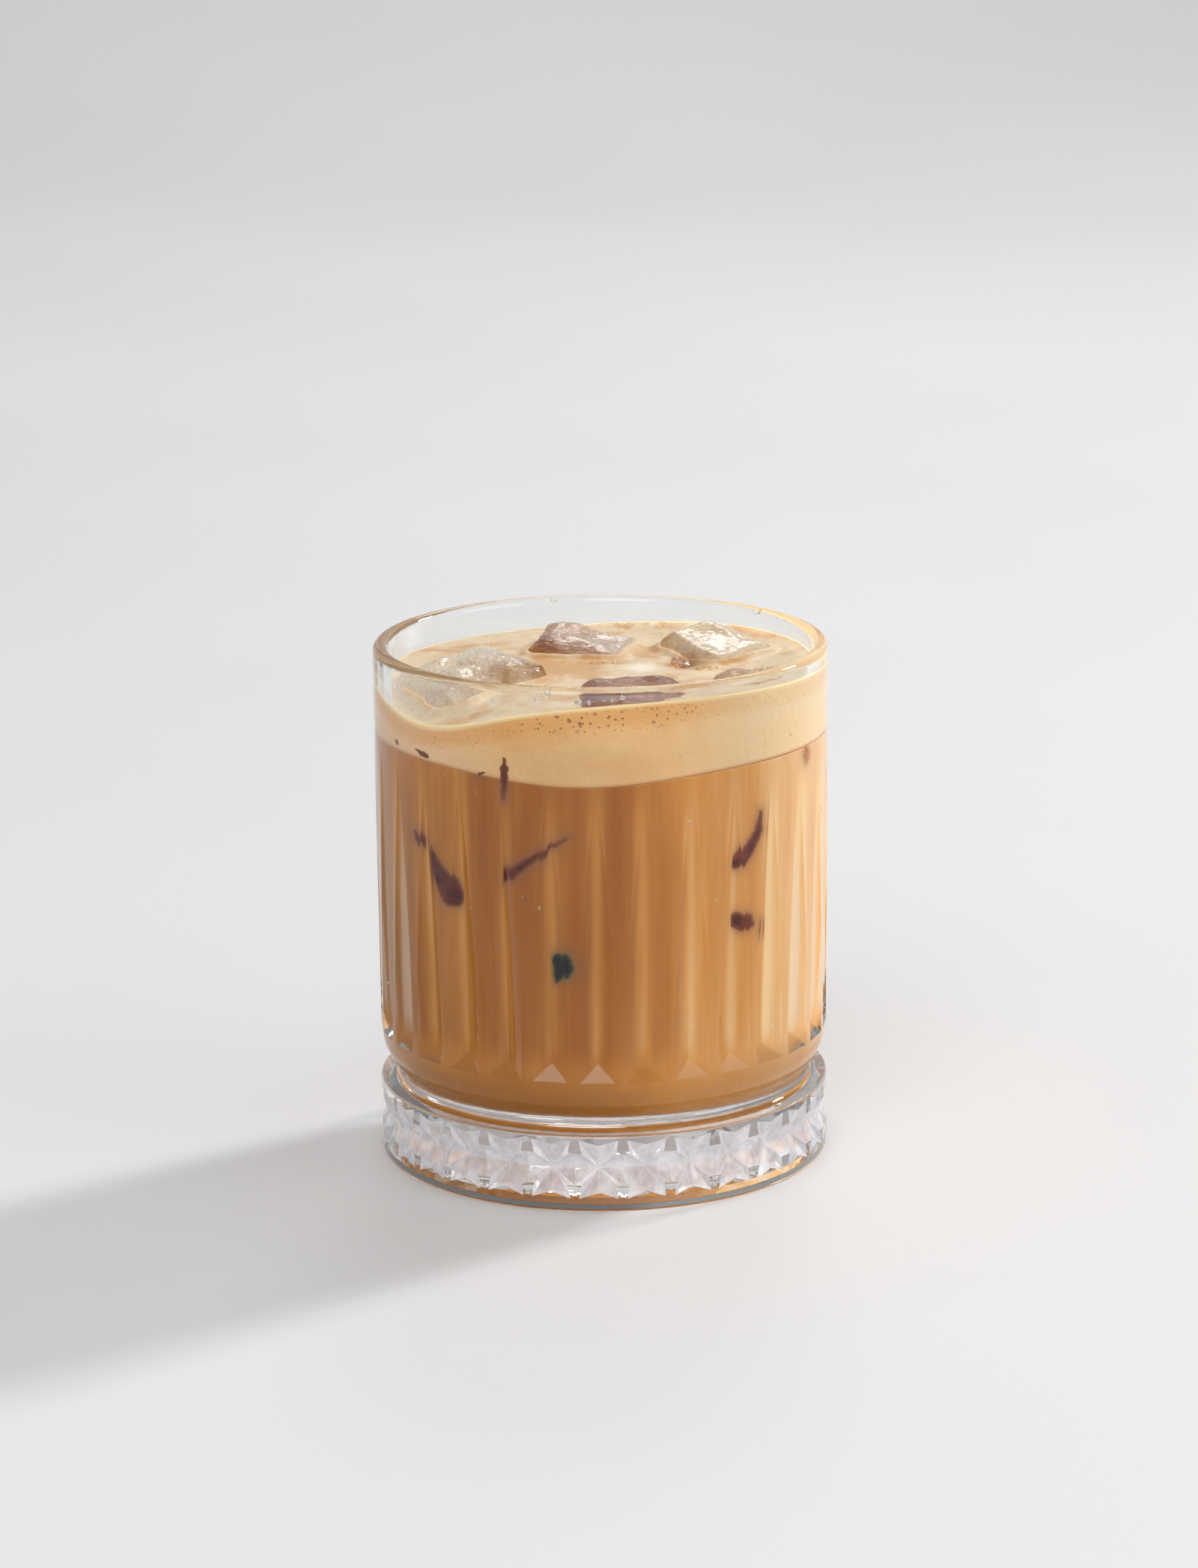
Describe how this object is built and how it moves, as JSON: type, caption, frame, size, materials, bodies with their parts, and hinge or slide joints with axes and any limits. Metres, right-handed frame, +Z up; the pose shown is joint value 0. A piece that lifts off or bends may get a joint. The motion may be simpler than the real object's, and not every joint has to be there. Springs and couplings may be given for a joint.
{
  "type": "vietnamese iced milk coffee",
  "caption": "Milk coffee under foam with ice standing out of it, in a straight pressed-glass tumbler with long tapered flutes, a waist and a thick star-cut foot.",
  "frame": {"origin": "on the table under the middle of the glass's foot", "axes": "+Z up the axis of the glass; -Y towards the side that the picture shows"},
  "size_m": [0.084, 0.084, 0.097],
  "materials": {
    "clear_glass": "clear pressed glass, fire polished, with sharp cut facets",
    "milk_coffee": "opaque light brown milk coffee, wet",
    "coffee_foam": "fine cream-coloured coffee foam with small bubbles",
    "wet_ice": "clear to cloudy melting ice, tinted by the coffee"
  },
  "bodies": {
    "root": {"glass": "clear_glass", "coffee": "milk_coffee", "foam": "coffee_foam", "ice_left": "wet_ice", "ice_back": "wet_ice", "ice_front": "wet_ice", "ice_right": "wet_ice", "ice_edge": "wet_ice"}
  },
  "joints": []
}
